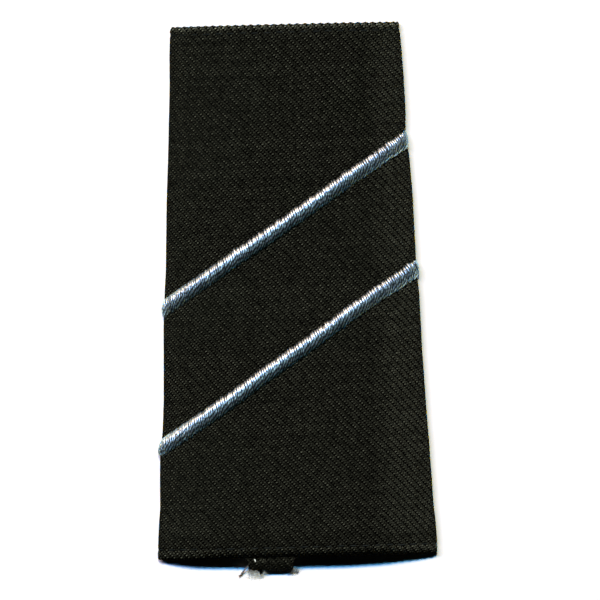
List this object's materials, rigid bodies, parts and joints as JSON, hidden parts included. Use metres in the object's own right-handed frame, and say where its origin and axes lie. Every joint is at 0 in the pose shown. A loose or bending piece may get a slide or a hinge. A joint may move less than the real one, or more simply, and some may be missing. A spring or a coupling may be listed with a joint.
{
  "type": "slip-on shoulder mark",
  "caption": "Tapered tube of black twill that slips over a shoulder strap, with slanting raised satin-stitched stripes across its front.",
  "frame": {"origin": "centre of the resting back face, halfway between the two hems and on the centre line", "axes": "+Y along the sleeve to its narrow, collar end; +X to the right seen from the front; +Z out of the front"},
  "size_m": [0.0565, 0.1112, 0.0076],
  "materials": {
    "cloth": "black two-and-two twill, matt with a faint sheen on the yarns",
    "stripe_thread": "silver-blue satin-stitch thread, glossy"
  },
  "bodies": {
    "root": {"sleeve": "cloth", "seam_allowance_left": "cloth", "seam_allowance_right": "cloth", "upper_stripe": "stripe_thread", "lower_stripe": "stripe_thread"}
  },
  "joints": []
}
